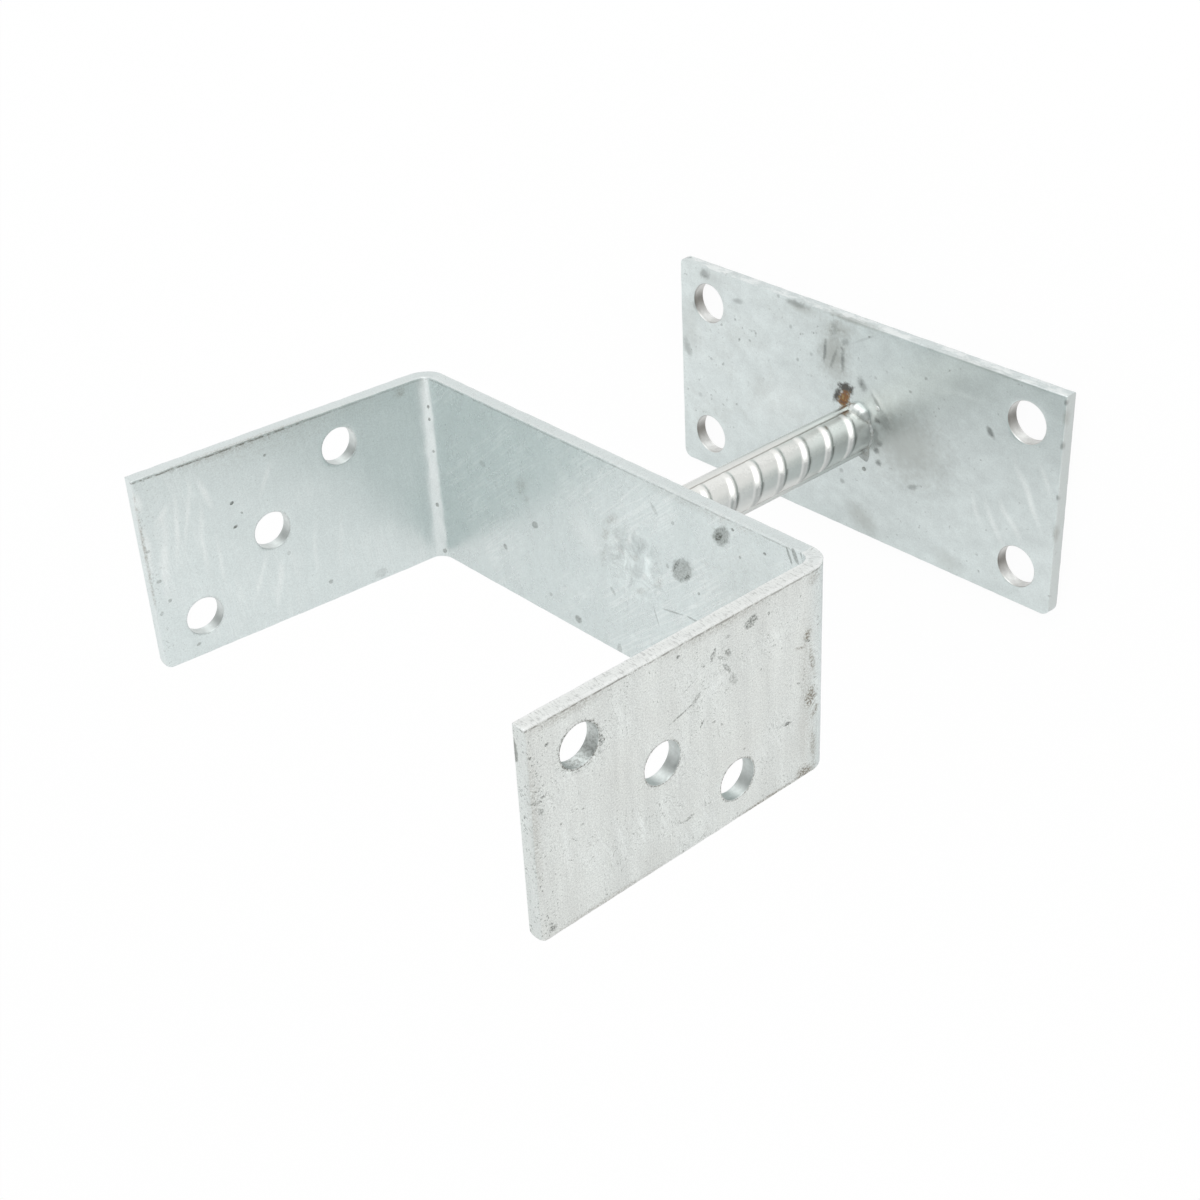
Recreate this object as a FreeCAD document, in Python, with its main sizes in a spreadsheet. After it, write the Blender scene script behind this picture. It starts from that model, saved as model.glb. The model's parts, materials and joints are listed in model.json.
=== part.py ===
import FreeCAD, Part
import math
import os
import Sketcher
from FreeCAD import Rotation, Vector

# A welded post base: a folded strip saddle on a ribbed bar stem, standing on a drilled base plate.
# The origin is the middle of the base plate's underside, +Z runs up the stem, and X runs from arm to arm.

# Driving dimensions, in millimetres and degrees
SIZES = [
    ("strip_width", 60, "width of the saddle's strip"),
    ("strip_thickness", 4, "thickness of the saddle's strip"),
    ("post_gap", 150, "clear width between the arms, at the web"),
    ("arm_height", 98, "web's underside to an arm's free end, along the arm"),
    ("bend_radius", 3, "inside radius of the two bends"),
    ("left_lean", 4, "how far the left arm leans outwards, in degrees"),
    ("arm_corner", 1.5, "rounding of the arms' corners on the strip's trimmed edge"),
    ("arm_hole", 11.5, "diameter of the arms' bolt holes"),
    ("right_hole_first", 15, "right arm's free end to its first hole"),
    ("left_hole_first", 14, "left arm's free end to its first hole"),
    ("arm_hole_step", 24.5, "hole to hole along the arm"),
    ("arm_hole_shift", 18, "hole to hole across the arm"),
    ("anchor_hole", 13, "diameter of the base plate's holes"),
    ("anchor_span_x", 123, "hole to hole along the base plate"),
    ("anchor_span_y", 46, "hole to hole across the base plate"),
    ("anchor_end", 12.5, "a hole's middle to the base plate's end"),
    ("anchor_side", 12, "a hole's middle to the base plate's side"),
    ("plate_length", "=anchor_span_x + 2 * anchor_end", "base plate along X"),
    ("plate_width", "=anchor_span_y + 2 * anchor_side", "base plate along Y"),
    ("plate_thickness", 4, "base plate's thickness"),
    ("plate_corner", 3, "rounding of the base plate's trimmed corners"),
    ("stem_length", 98, "base plate's upper face to the web's underside"),
    ("bar_core", 13.5, "diameter of the bar between its ribs"),
    ("bar_turn", 26, "turn of the bar about its own axis, in degrees"),
    ("rib_height", 1, "how far all the ribs stand proud of the core"),
    ("rib_foot", 3, "width of a cross rib where it leaves the core"),
    ("rib_crest", 1.2, "width of a cross rib along its crest"),
    ("rib_reach", 72, "angle from a cross rib's middle to where it fades out, in degrees"),
    ("rib_slant", 23, "tilt of the cross ribs out of the bar's cross-section, in degrees"),
    ("rib_pitch", 10, "cross rib to cross rib along the bar"),
    ("rib_start", 8.2, "end of the bar to the middle of the first cross rib"),
    ("seam_foot", 3.4, "width of a lengthwise rib where it leaves the core"),
    ("seam_crest", 2, "width of a lengthwise rib along its crest"),
    ("weld_leg", 2.5, "leg of both fillet welds"),
    ("weld_sink", 2, "how far a weld's ring reaches into the bar, which is then taken out of it"),
]

doc = FreeCAD.newDocument("post_base")
sheet = doc.addObject("Spreadsheet::Sheet", "sizes")
for row, (alias, value, note) in enumerate(SIZES, start=1):
    sheet.set(f"A{row}", str(value))
    sheet.setAlias(f"A{row}", alias)
    sheet.set(f"B{row}", note)
doc.recompute()

# A sketch's own origin and axes, and the points of its edges
ORIGIN = (-1, 1)
X_AXIS, Y_AXIS = range(-1, -3, -1)
START, END, CENTRE = range(1, 4)

RIGHT, LEFT = 1, -1
ARM_HOLES = 3
MATCH = 0.001  # how close an edge has to lie to be the one looked for


def size(alias):
    return float(sheet.get(alias))


def rule(sketch, *terms):
    return sketch.addConstraint(Sketcher.Constraint(*terms))


def bind(sketch, expression, *terms):
    sketch.setExpression(f"Constraints[{rule(sketch, *terms)}]", expression)


def from_origin(sketch, kind, edge, point, value, expression):
    # a distance to the sketch's origin, whichever side of it the point lies on
    ends = (*ORIGIN, edge, point) if value > 0 else (edge, point, *ORIGIN)
    bind(sketch, expression, kind, *ends, abs(value))


def line(sketch, start, end):
    return sketch.addGeometry(Part.LineSegment(Vector(*start), Vector(*end)), False)


def circle(sketch, x, y, alias):
    ring = Part.Circle(Vector(x, y, 0), Vector(0, 0, 1), size(alias) / 2)
    edge = sketch.addGeometry(ring, False)
    bind(sketch, f"sizes.{alias}", "Diameter", edge, size(alias))
    return edge


def outline(sketch, points):
    # a closed outline of straight edges, each starting at its own point
    edges = []
    for start, end in zip(points, points[1:] + points[:1]):
        edges.append(line(sketch, start, end))
    for first, second in zip(edges, edges[1:] + edges[:1]):
        rule(sketch, "Coincident", first, END, second, START)
    return edges


def origin_feature(body, role):
    for feature in body.Origin.OriginFeatures:
        if feature.Role == role:
            return feature


def new_body(label):
    body = doc.addObject("PartDesign::Body", label)
    body.Label = label
    return body


def new_sketch(body, name, role):
    sketch = body.newObject("Sketcher::SketchObject", name)
    sketch.AttachmentSupport = [(origin_feature(body, role), "")]
    sketch.MapMode = "FlatFace"
    return sketch


def pad(body, name, sketch, length):
    feature = body.newObject("PartDesign::Pad", name)
    feature.Profile = sketch
    feature.setExpression("Length", length)
    doc.recompute()
    return feature


def drill(body, name, sketch, along_normal):
    before = body.Shape.Volume
    feature = body.newObject("PartDesign::Pocket", name)
    feature.Profile = sketch
    feature.Type = "ThroughAll"
    feature.Reversed = along_normal
    doc.recompute()
    if body.Shape.Volume >= before:
        raise RuntimeError(f"{name} cuts nothing")


def round_corners(body, name, base, is_corner, radius):
    edges = [f"Edge{number}" for number, edge in enumerate(base.Shape.Edges, start=1) if is_corner(edge)]
    feature = body.newObject("PartDesign::Fillet", name)
    feature.Base = (base, edges)
    feature.setExpression("Radius", radius)
    doc.recompute()


# The saddle's section: a web and two arms, one strip thick all along, with the web's underside at the body's Z = 0
ARM_STRAIGHT = "(sizes.arm_height - sizes.strip_thickness - sizes.bend_radius)"


def saddle_section(body):
    sketch = new_sketch(body, "saddle_section", "XZ_Plane")
    thick = size("strip_thickness")
    bend = size("bend_radius")
    centre_x = size("post_gap") / 2 - bend
    centre_z = thick + bend
    straight = size("arm_height") - centre_z

    def arm_point(side, lean, radius, along):
        # out from the bend's centre by a radius, then along the arm
        x = centre_x + radius * math.cos(lean) + along * math.sin(lean)
        return side * x, centre_z - radius * math.sin(lean) + along * math.cos(lean)

    def arm(side, lean):
        inner = line(sketch, arm_point(side, lean, bend, 0), arm_point(side, lean, bend, straight))
        outer = line(sketch, arm_point(side, lean, centre_z, 0), arm_point(side, lean, centre_z, straight))
        cap = line(sketch, arm_point(side, lean, bend, straight), arm_point(side, lean, centre_z, straight))
        rule(sketch, "Coincident", inner, END, cap, START)
        rule(sketch, "Coincident", outer, END, cap, END)
        rule(sketch, "Parallel", inner, outer)
        rule(sketch, "Perpendicular", inner, cap)
        bind(sketch, ARM_STRAIGHT, "Distance", inner, straight)
        return inner, outer

    def bend_arc(side, lean, radius, web, arm_edge):
        ring = Part.Circle(Vector(side * centre_x, centre_z, 0), Vector(0, 0, 1), radius)
        if side == RIGHT:
            arc = sketch.addGeometry(Part.ArcOfCircle(ring, -math.pi / 2, -lean), False)
            rule(sketch, "Tangent", arc, START, web, END)
            rule(sketch, "Tangent", arc, END, arm_edge, START)
        else:
            arc = sketch.addGeometry(Part.ArcOfCircle(ring, math.pi + lean, math.pi * 3 / 2), False)
            rule(sketch, "Tangent", arc, END, web, START)
            rule(sketch, "Tangent", arc, START, arm_edge, START)
        return arc

    web_top = line(sketch, (-centre_x, thick), (centre_x, thick))
    web_under = line(sketch, (-centre_x, 0), (centre_x, 0))
    for side, lean in ((RIGHT, 0.0), (LEFT, math.radians(size("left_lean")))):
        inner, outer = arm(side, lean)
        inner_arc = bend_arc(side, lean, bend, web_top, inner)
        outer_arc = bend_arc(side, lean, centre_z, web_under, outer)
        rule(sketch, "Coincident", inner_arc, CENTRE, outer_arc, CENTRE)
        bind(sketch, "sizes.bend_radius", "Radius", inner_arc, bend)
        bind(sketch, "sizes.bend_radius + sizes.strip_thickness", "Radius", outer_arc, centre_z)
        if side == RIGHT:
            rule(sketch, "Vertical", inner)
        else:
            bind(sketch, "90 deg + sizes.left_lean * 1 deg", "Angle", inner, math.pi / 2 + lean)
    rule(sketch, "Symmetric", web_top, START, web_top, END, Y_AXIS)
    rule(sketch, "PointOnObject", web_under, START, X_AXIS)
    bind(sketch, "sizes.post_gap - 2 * sizes.bend_radius", "Distance", web_top, 2 * centre_x)
    return sketch


# A slanted row of holes, drawn in the arm's own plane with the bend's centre at the sketch's origin.
# The two arms' rows slant opposite ways, so a bolt through one arm passes clear of a bolt through the other.
def arm_hole_row(body, name, side, first, lean):
    sketch = new_sketch(body, name, "YZ_Plane")
    straight = size("arm_height") - size("strip_thickness") - size("bend_radius")
    for index in range(ARM_HOLES):
        across = side * (1 - index) * size("arm_hole_shift")
        along = straight - size(first) - index * size("arm_hole_step")
        hole = circle(sketch, across, along, "arm_hole")
        from_origin(sketch, "DistanceY", hole, CENTRE, along,
                    f"{ARM_STRAIGHT} - sizes.{first} - {index} * sizes.arm_hole_step")
        if across:
            from_origin(sketch, "DistanceX", hole, CENTRE, across, "sizes.arm_hole_shift")
        else:
            rule(sketch, "PointOnObject", hole, CENTRE, Y_AXIS)
    sketch.AttachmentOffset = FreeCAD.Placement(Vector(), Rotation(Vector(1, 0, 0), 1))
    sketch.setExpression("AttachmentOffset.Base.y", "sizes.strip_thickness + sizes.bend_radius")
    sketch.setExpression("AttachmentOffset.Base.z", f"{side} * (sizes.post_gap / 2 - sizes.bend_radius)")
    sketch.setExpression("AttachmentOffset.Rotation.Angle", lean)
    doc.recompute()
    return sketch


def make_saddle():
    body = new_body("u_saddle")
    strip = pad(body, "folded_strip", saddle_section(body), "sizes.strip_width")
    strip.SideType = "Symmetric"
    doc.recompute()

    def is_trimmed(edge):
        on_trimmed_side = abs(edge.CenterOfMass.y + size("strip_width") / 2) < MATCH
        return on_trimmed_side and abs(edge.Length - size("strip_thickness")) < MATCH

    round_corners(body, "arm_corners", strip, is_trimmed, "sizes.arm_corner")
    right_row = arm_hole_row(body, "right_hole_row", RIGHT, "right_hole_first", "0 deg")
    drill(body, "right_holes", right_row, True)
    left_row = arm_hole_row(body, "left_hole_row", LEFT, "left_hole_first", "-sizes.left_lean * 1 deg")
    drill(body, "left_holes", left_row, False)
    body.setExpression("Placement.Base.z", "sizes.plate_thickness + sizes.stem_length")
    return body


# The base plate, with three of its corners snipped round
def make_base_plate():
    body = new_body("base_plate")
    sketch = new_sketch(body, "plate_outline", "XY_Plane")
    half_x = size("plate_length") / 2
    half_y = size("plate_width") / 2
    front, right, back, left = outline(
        sketch, [(-half_x, -half_y), (half_x, -half_y), (half_x, half_y), (-half_x, half_y)])
    rule(sketch, "Horizontal", front)
    rule(sketch, "Horizontal", back)
    rule(sketch, "Vertical", left)
    rule(sketch, "Vertical", right)
    rule(sketch, "Symmetric", front, START, back, START, *ORIGIN)
    bind(sketch, "sizes.plate_length", "Distance", front, 2 * half_x)
    bind(sketch, "sizes.plate_width", "Distance", left, 2 * half_y)
    blank = pad(body, "plate_blank", sketch, "sizes.plate_thickness")

    def is_snipped(edge):
        middle = edge.CenterOfMass
        upright = abs(edge.BoundBox.ZLength - size("plate_thickness")) < MATCH
        return upright and (middle.x < 0 or middle.y < 0)

    round_corners(body, "plate_corners", blank, is_snipped, "sizes.plate_corner")
    layout = new_sketch(body, "anchor_layout", "XY_Plane")
    for side_x in (LEFT, RIGHT):
        for side_y in (LEFT, RIGHT):
            x = side_x * size("anchor_span_x") / 2
            y = side_y * size("anchor_span_y") / 2
            hole = circle(layout, x, y, "anchor_hole")
            from_origin(layout, "DistanceX", hole, CENTRE, x, "sizes.anchor_span_x / 2")
            from_origin(layout, "DistanceY", hole, CENTRE, y, "sizes.anchor_span_y / 2")
    doc.recompute()
    drill(body, "anchor_holes", layout, True)
    return body


# The bar's ribs. A lengthwise rib is a trapezium that starts as deep in the core as it stands proud of it.
CORE = "(sizes.bar_core / 2)"
CREST = f"({CORE} + sizes.rib_height)"


def seam_section(body):
    sketch = new_sketch(body, "seam_section", "XY_Plane")
    core = size("bar_core") / 2
    height = size("rib_height")
    half_crest = size("seam_crest") / 2
    half_root = size("seam_foot") - half_crest
    for side in (RIGHT, LEFT):
        root_y = side * (core - height)
        crest_y = side * (core + height)
        root, _, crest, _ = outline(
            sketch, [(-half_root, root_y), (half_root, root_y), (half_crest, crest_y), (-half_crest, crest_y)])
        rule(sketch, "Symmetric", root, START, root, END, Y_AXIS)
        rule(sketch, "Symmetric", crest, START, crest, END, Y_AXIS)
        bind(sketch, "2 * sizes.seam_foot - sizes.seam_crest", "Distance", root, 2 * half_root)
        bind(sketch, "sizes.seam_crest", "Distance", crest, 2 * half_crest)
        from_origin(sketch, "DistanceY", root, START, root_y, f"{CORE} - sizes.rib_height")
        from_origin(sketch, "DistanceY", crest, START, crest_y, CREST)
    return sketch


# A cross rib is the rim of a tilted disc that is set off centre, so it stands proud in a crescent on one side only.
# The disc's rim crosses the core at the reach angle, which settles how far off centre it sits.
FADE_ACROSS = f"({CORE} * cos(sizes.rib_reach * 1 deg))"
FADE_ALONG = f"({CORE} * sin(sizes.rib_reach * 1 deg) / cos(sizes.rib_slant * 1 deg))"
DISC_OFFSET = f"(({CREST}^2 - {FADE_ACROSS}^2 - {FADE_ALONG}^2) / (2 * ({CREST} - {FADE_ACROSS})))"
DISC_RADIUS = f"({CREST} - {DISC_OFFSET})"
HALF_TURN = 180


def cross_rib(body, name, side):
    sketch = new_sketch(body, f"{name}_section", "XZ_Plane")
    rim = side * size("bar_core") / 2
    root = rim - side * 2 * size("rib_height")
    half_crest = size("rib_crest") / 2
    half_root = size("rib_foot") - half_crest
    lower, flank, crest, _, upper, _ = outline(sketch, [
        (0, -half_root), (root, -half_root), (rim, -half_crest),
        (rim, half_crest), (root, half_root), (0, half_root)])
    rule(sketch, "PointOnObject", lower, START, Y_AXIS)
    rule(sketch, "PointOnObject", upper, END, Y_AXIS)
    rule(sketch, "Horizontal", lower)
    rule(sketch, "Horizontal", upper)
    rule(sketch, "Symmetric", flank, START, upper, START, X_AXIS)
    rule(sketch, "Symmetric", crest, START, crest, END, X_AXIS)
    from_origin(sketch, "DistanceX", crest, START, rim, DISC_RADIUS)
    from_origin(sketch, "DistanceX", flank, START, root, f"{DISC_RADIUS} - 2 * sizes.rib_height")
    bind(sketch, "sizes.rib_crest", "Distance", crest, 2 * half_crest)
    bind(sketch, "2 * sizes.rib_foot - sizes.rib_crest", "DistanceY", lower, END, upper, START, 2 * half_root)
    sketch.AttachmentOffset = FreeCAD.Placement(Vector(), Rotation(Vector(1, 0, 0), 1))
    sketch.setExpression("AttachmentOffset.Base.x", f"{side} * {DISC_OFFSET}")
    sketch.setExpression("AttachmentOffset.Base.y", "sizes.rib_start")
    sketch.setExpression("AttachmentOffset.Rotation.Angle", f"{-side} * sizes.rib_slant * 1 deg")
    doc.recompute()
    rib = body.newObject("PartDesign::Revolution", name)
    rib.Profile = sketch
    rib.ReferenceAxis = (sketch, ["V_Axis"])
    rib.Angle = HALF_TURN
    rib.Midplane = True
    doc.recompute()
    return rib


def make_stem():
    body = new_body("ribbed_stem")
    core_section = new_sketch(body, "core_section", "XY_Plane")
    core = circle(core_section, 0, 0, "bar_core")
    rule(core_section, "Coincident", core, CENTRE, *ORIGIN)
    pad(body, "core", core_section, "sizes.stem_length")
    pad(body, "seam_ribs", seam_section(body), "sizes.stem_length")
    ribs = [cross_rib(body, "front_rib", RIGHT), cross_rib(body, "back_rib", LEFT)]
    rows = body.newObject("PartDesign::LinearPattern", "rib_rows")
    rows.Originals = ribs
    rows.Direction = (origin_feature(body, "Z_Axis"), [""])
    rows.Mode = "Spacing"
    rows.setExpression("Offset", "sizes.rib_pitch")
    rows.setExpression("Occurrences", "floor((sizes.stem_length - 2 * sizes.rib_start) / sizes.rib_pitch) + 1")
    body.Tip = rows
    body.Placement.Rotation = Rotation(Vector(0, 0, 1), size("bar_turn"))
    body.setExpression("Placement.Base.z", "sizes.plate_thickness")
    body.setExpression("Placement.Rotation.Angle", "sizes.bar_turn * 1 deg")
    doc.recompute()
    return body


# A fillet weld: a ring with two equal legs and a sloping face, from which the stem that it runs round is taken out
def make_weld(label, stem, height, upside_down):
    ring = new_body(f"{label}_ring")
    sketch = new_sketch(ring, f"{label}_section", "XZ_Plane")
    core = size("bar_core") / 2
    leg = size("weld_leg")
    inner = core - size("weld_sink")
    outer = core + leg
    foot, _, top, root = outline(sketch, [(inner, 0), (outer, 0), (core, leg), (inner, leg)])
    rule(sketch, "PointOnObject", foot, START, X_AXIS)
    rule(sketch, "Horizontal", foot)
    rule(sketch, "Horizontal", top)
    rule(sketch, "Vertical", root)
    from_origin(sketch, "DistanceX", foot, START, inner, f"{CORE} - sizes.weld_sink")
    from_origin(sketch, "DistanceX", foot, END, outer, f"{CORE} + sizes.weld_leg")
    from_origin(sketch, "DistanceX", top, START, core, CORE)
    from_origin(sketch, "DistanceY", top, START, leg, "sizes.weld_leg")
    bead = ring.newObject("PartDesign::Revolution", f"{label}_bead")
    bead.Profile = sketch
    bead.ReferenceAxis = (sketch, ["V_Axis"])
    if upside_down:
        ring.Placement.Rotation = Rotation(Vector(1, 0, 0), HALF_TURN)
    ring.setExpression("Placement.Base.z", height)
    doc.recompute()
    weld = doc.addObject("Part::Cut", label)
    weld.Label = label
    weld.Base = ring
    weld.Tool = stem
    doc.recompute()
    return weld


saddle = make_saddle()
base_plate = make_base_plate()
stem = make_stem()
base_weld = make_weld("base_weld", stem, "sizes.plate_thickness", False)
saddle_weld = make_weld("saddle_weld", stem, "sizes.plate_thickness + sizes.stem_length", True)
pieces = [saddle, base_plate, stem, base_weld, saddle_weld]
doc.recompute()

for item in doc.Objects:
    if "Invalid" in item.State or "Error" in item.State:
        raise RuntimeError(f"{item.Name} failed: {item.State}")
    if item.isDerivedFrom("Sketcher::SketchObject") and not item.FullyConstrained:
        raise RuntimeError(f"{item.Name} is not fully constrained")
for piece in pieces:
    if piece.Shape.isNull() or not piece.Shape.isValid():
        raise RuntimeError(f"{piece.Label} has no sound shape")

os.makedirs("parts", exist_ok=True)
for piece in pieces:
    piece.Shape.exportStep(f"parts/{piece.Label}.step")
    box = piece.Shape.BoundBox
    print(f"{piece.Label}: {len(piece.Shape.Solids)} solid, {piece.Shape.Volume:.1f} mm3,"
          f" {box.XLength:.2f} x {box.YLength:.2f} x {box.ZLength:.2f} mm, from Z {box.ZMin:.2f}")
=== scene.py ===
import json
import math
import bmesh
import bpy
from mathutils import Matrix, Vector, noise


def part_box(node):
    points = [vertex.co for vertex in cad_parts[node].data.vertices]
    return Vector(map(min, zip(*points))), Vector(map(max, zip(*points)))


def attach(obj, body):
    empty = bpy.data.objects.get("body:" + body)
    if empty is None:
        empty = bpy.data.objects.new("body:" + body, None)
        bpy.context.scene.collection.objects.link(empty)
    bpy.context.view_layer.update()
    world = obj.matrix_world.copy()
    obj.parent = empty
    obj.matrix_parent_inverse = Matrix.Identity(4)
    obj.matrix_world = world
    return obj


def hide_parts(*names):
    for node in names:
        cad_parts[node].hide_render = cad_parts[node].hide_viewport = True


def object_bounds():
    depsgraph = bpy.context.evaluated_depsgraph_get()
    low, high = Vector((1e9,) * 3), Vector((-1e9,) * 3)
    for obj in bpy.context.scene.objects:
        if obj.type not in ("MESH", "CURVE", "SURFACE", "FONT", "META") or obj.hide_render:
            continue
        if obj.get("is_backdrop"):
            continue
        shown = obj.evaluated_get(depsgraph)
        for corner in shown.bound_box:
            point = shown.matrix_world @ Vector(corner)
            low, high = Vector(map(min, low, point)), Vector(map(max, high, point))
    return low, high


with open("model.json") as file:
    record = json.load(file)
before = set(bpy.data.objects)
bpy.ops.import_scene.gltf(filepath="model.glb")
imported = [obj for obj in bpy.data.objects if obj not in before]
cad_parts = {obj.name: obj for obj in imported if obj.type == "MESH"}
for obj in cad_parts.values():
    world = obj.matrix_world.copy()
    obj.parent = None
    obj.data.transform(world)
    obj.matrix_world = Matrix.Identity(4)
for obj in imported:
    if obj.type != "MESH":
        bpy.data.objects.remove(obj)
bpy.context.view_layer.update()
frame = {"nodes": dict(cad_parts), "record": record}
scene = bpy.context.scene
mm = 0.001
print("frame loaded:", ", ".join(frame["nodes"]))


# Shader maths: a value is a socket that can be added, multiplied and so on

class Value:
    def __init__(self, paint, socket):
        self.paint = paint
        self.socket = socket

    def __add__(self, other):
        return self.paint.math("ADD", self, other)

    def __sub__(self, other):
        return self.paint.math("SUBTRACT", self, other)

    def __rsub__(self, other):
        return self.paint.math("SUBTRACT", other, self)

    def __mul__(self, other):
        return self.paint.math("MULTIPLY", self, other)

    __radd__ = __add__


class Paint:
    def __init__(self, owner):  # a material or the world
        owner.use_nodes = True
        self.owner = owner
        self.tree = owner.node_tree
        self.tree.nodes.clear()

    def node(self, kind, inputs, output=0, **settings):
        made = self.tree.nodes.new(kind)
        for key, setting in settings.items():
            setattr(made, key, setting)
        for key, given in inputs.items():
            if isinstance(given, Value):
                self.tree.links.new(given.socket, made.inputs[key])
            else:
                made.inputs[key].default_value = given
        return Value(self, made.outputs[output]) if made.outputs else made

    def math(self, operation, *given):
        return self.node("ShaderNodeMath", dict(enumerate(given)), operation=operation)

    def vectors(self, operation, *given, output=0):
        return self.node("ShaderNodeVectorMath", dict(enumerate(given)), output, operation=operation)

    def objectPlace(self):  # millimetres on the piece
        place = self.node("ShaderNodeTexCoord", {}, "Object")
        return self.vectors("MULTIPLY", place, (1 / mm,) * 3)

    def own(self, name, output="Fac"):  # a value that the mesh carries
        return self.node("ShaderNodeAttribute", {}, output, attribute_name=name)

    def split(self, vector):
        first = self.node("ShaderNodeSeparateXYZ", {0: vector})
        return [Value(self, socket) for socket in first.socket.node.outputs]

    def fade(self, value, start, end):  # 0 at start, 1 at end, smooth between
        inputs = {"Value": value, "From Min": start, "From Max": end}
        return self.node("ShaderNodeMapRange", inputs, interpolation_type="SMOOTHSTEP")

    def largest(self, first, second):
        return self.math("MAXIMUM", first, second)

    def size(self, value):
        return self.math("ABSOLUTE", value)

    def cloud(self, at, scale, detail=3.0, rough=0.55, twist=0.0):  # one scale, or one for each axis
        scales = scale if isinstance(scale, tuple) else (scale,) * 3
        inputs = {"Vector": self.vectors("MULTIPLY", at, scales), "Scale": 1.0, "Detail": detail,
                  "Roughness": rough, "Distortion": twist}
        return self.node("ShaderNodeTexNoise", inputs)

    def wavy(self, at, scale, amount):  # the same places, shifted a little by noise
        wave = self.node("ShaderNodeTexNoise", {"Vector": at, "Scale": scale, "Detail": 1.0}, "Color")
        shift = self.vectors("SUBTRACT", wave, (0.5, 0.5, 0.5))
        return self.vectors("MULTIPLY_ADD", shift, (amount, amount, 0), at)

    def threads(self, field, wide):  # thin lines where a field crosses its middle
        return self.fade(self.size(field - 0.5), wide, wide * 0.3)

    def turned(self, vector, degrees):
        inputs = {"Vector": vector, "Rotation": (0, 0, math.radians(degrees))}
        return self.node("ShaderNodeMapping", inputs, vector_type="TEXTURE")

    def specks(self, at, cell, radius, share):  # round dots in a share of the cells
        inputs = {"Vector": at, "Scale": 1 / cell}
        near = self.node("ShaderNodeTexVoronoi", inputs, "Distance")
        pick = self.node("ShaderNodeTexVoronoi", inputs, "Color")
        red = self.node("ShaderNodeSeparateColor", {"Color": pick}, "Red")
        reach = radius / cell
        return self.fade(near, reach, reach * 0.4) * self.fade(red, 1 - share, 1 - share * 0.8)

    def blot(self, at, ragged, centre, radii, turn=0, grit=0.35, soft=0.4):  # one mark on the surface
        inputs = {"Vector": at, "Location": centre, "Rotation": (0, 0, math.radians(turn)), "Scale": radii}
        local = self.node("ShaderNodeMapping", inputs, vector_type="TEXTURE")
        length = self.vectors("LENGTH", local, output="Value")
        return self.fade(length + (ragged - 0.5) * (grit * 4), 1.0, 1.0 - soft)

    def blots(self, at, ragged, marks, depth, grit=0.35, soft=0.4, reach=1.5):  # all the marks of one face
        total = 0
        for along, across, long, wide, turn, strength in marks.values():
            one = self.blot(at, ragged, (along, across, depth), (long, wide, reach), turn, grit, soft)
            total = total + one * strength
        return total

    def mix(self, amount, first, second):
        inputs = {0: amount, 6: first, 7: second}
        return self.node("ShaderNodeMix", inputs, 2, data_type="RGBA", clamp_factor=True)

    def shade(self, colour, value):  # lighter or darker by a value
        return self.node("ShaderNodeVectorMath", {0: colour, "Scale": value}, operation="SCALE")

    def finish(self, colour, rough, height, depth=0.03, metal=1.0):  # the bump's depth in millimetres
        bump = self.node("ShaderNodeBump", {"Height": height, "Distance": depth * mm})
        inputs = {"Base Color": colour, "Metallic": metal, "Roughness": rough, "Normal": bump}
        surface = self.node("ShaderNodeBsdfPrincipled", inputs)
        self.node("ShaderNodeOutputMaterial", {"Surface": surface})
        return self.owner


def newPaint(name):
    return Paint(bpy.data.materials.new(name))


# Sheet metal: a flat grid with holes, thickness and softened edges, in millimetres

sheetLook = {
    "ringCuts": 2,          # finer rings round a hole
    "wallCuts": 4,          # across the thickness
    "sharp": 50,            # degrees from which an edge is softened
    "bevelSteps": 3,
    "boreFade": (0.02, 0.6),  # from a hole's wall to where it no longer counts
    "tone": 0.6,            # plain wall of a hole, darker than the faces as painted shade
    # how far round a hole the painted shade and the painted reflection spread
    "darkSpread": 26,       # degrees
    "lightSpread": 18,
    "lightGain": 0.3,
}


def openHole(bm, x, y, radius, margin):
    window = radius + margin
    inside = []
    for face in bm.faces:
        middle = face.calc_center_median()
        if max(abs(middle.x - x), abs(middle.y - y)) < window:
            inside.append(face)
    chosen = set(inside)
    border = [edge for face in inside for edge in face.edges if not chosen.issuperset(edge.link_faces)]
    bmesh.ops.delete(bm, geom=inside, context="FACES")
    raised = Matrix.Translation((x, y, radius))  # above the sheet, so that the bridge isn't twisted
    rim = bmesh.ops.create_circle(bm, radius=radius, segments=len(border), matrix=raised)
    rimEdges = [edge for edge in bm.edges if edge.is_wire]
    ring = bmesh.ops.bridge_loops(bm, edges=border + rimEdges)
    bmesh.ops.translate(bm, vec=(0, 0, -radius), verts=rim["verts"])
    bmesh.ops.subdivide_edges(bm, edges=ring["edges"], cuts=sheetLook["ringCuts"])


def cornerOf(cornerX, cornerY, radius, z):  # which way a corner points, and the middle of its round
    signX = math.copysign(1, cornerX)
    signY = math.copysign(1, cornerY)
    return signX, signY, Vector((cornerX - signX * radius, cornerY - signY * radius, z))


def roundCorner(bm, cornerX, cornerY, radius):  # the square corner's points are drawn onto a round one
    signX, signY, middle = cornerOf(cornerX, cornerY, radius, 0)
    for vert in bm.verts:
        out = vert.co - middle
        reach = min(out.x * signX, out.y * signY)
        if reach > 0:
            vert.co = middle + out * max(out.x * signX, out.y * signY) / out.length


def meltCorner(point, cornerX, cornerY, radius):  # zinc ran off, so the corner is rounder
    signX, signY, middle = cornerOf(cornerX, cornerY, radius, point.z)
    out = point - middle
    if min(out.x * signX, out.y * signY) > 0 and out.length > radius:
        return middle + out * radius / out.length
    return point


def smoothStep(value, start, end):
    share = min(max((value - start) / (end - start), 0), 1)
    return share * share * (3 - 2 * share)


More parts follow.
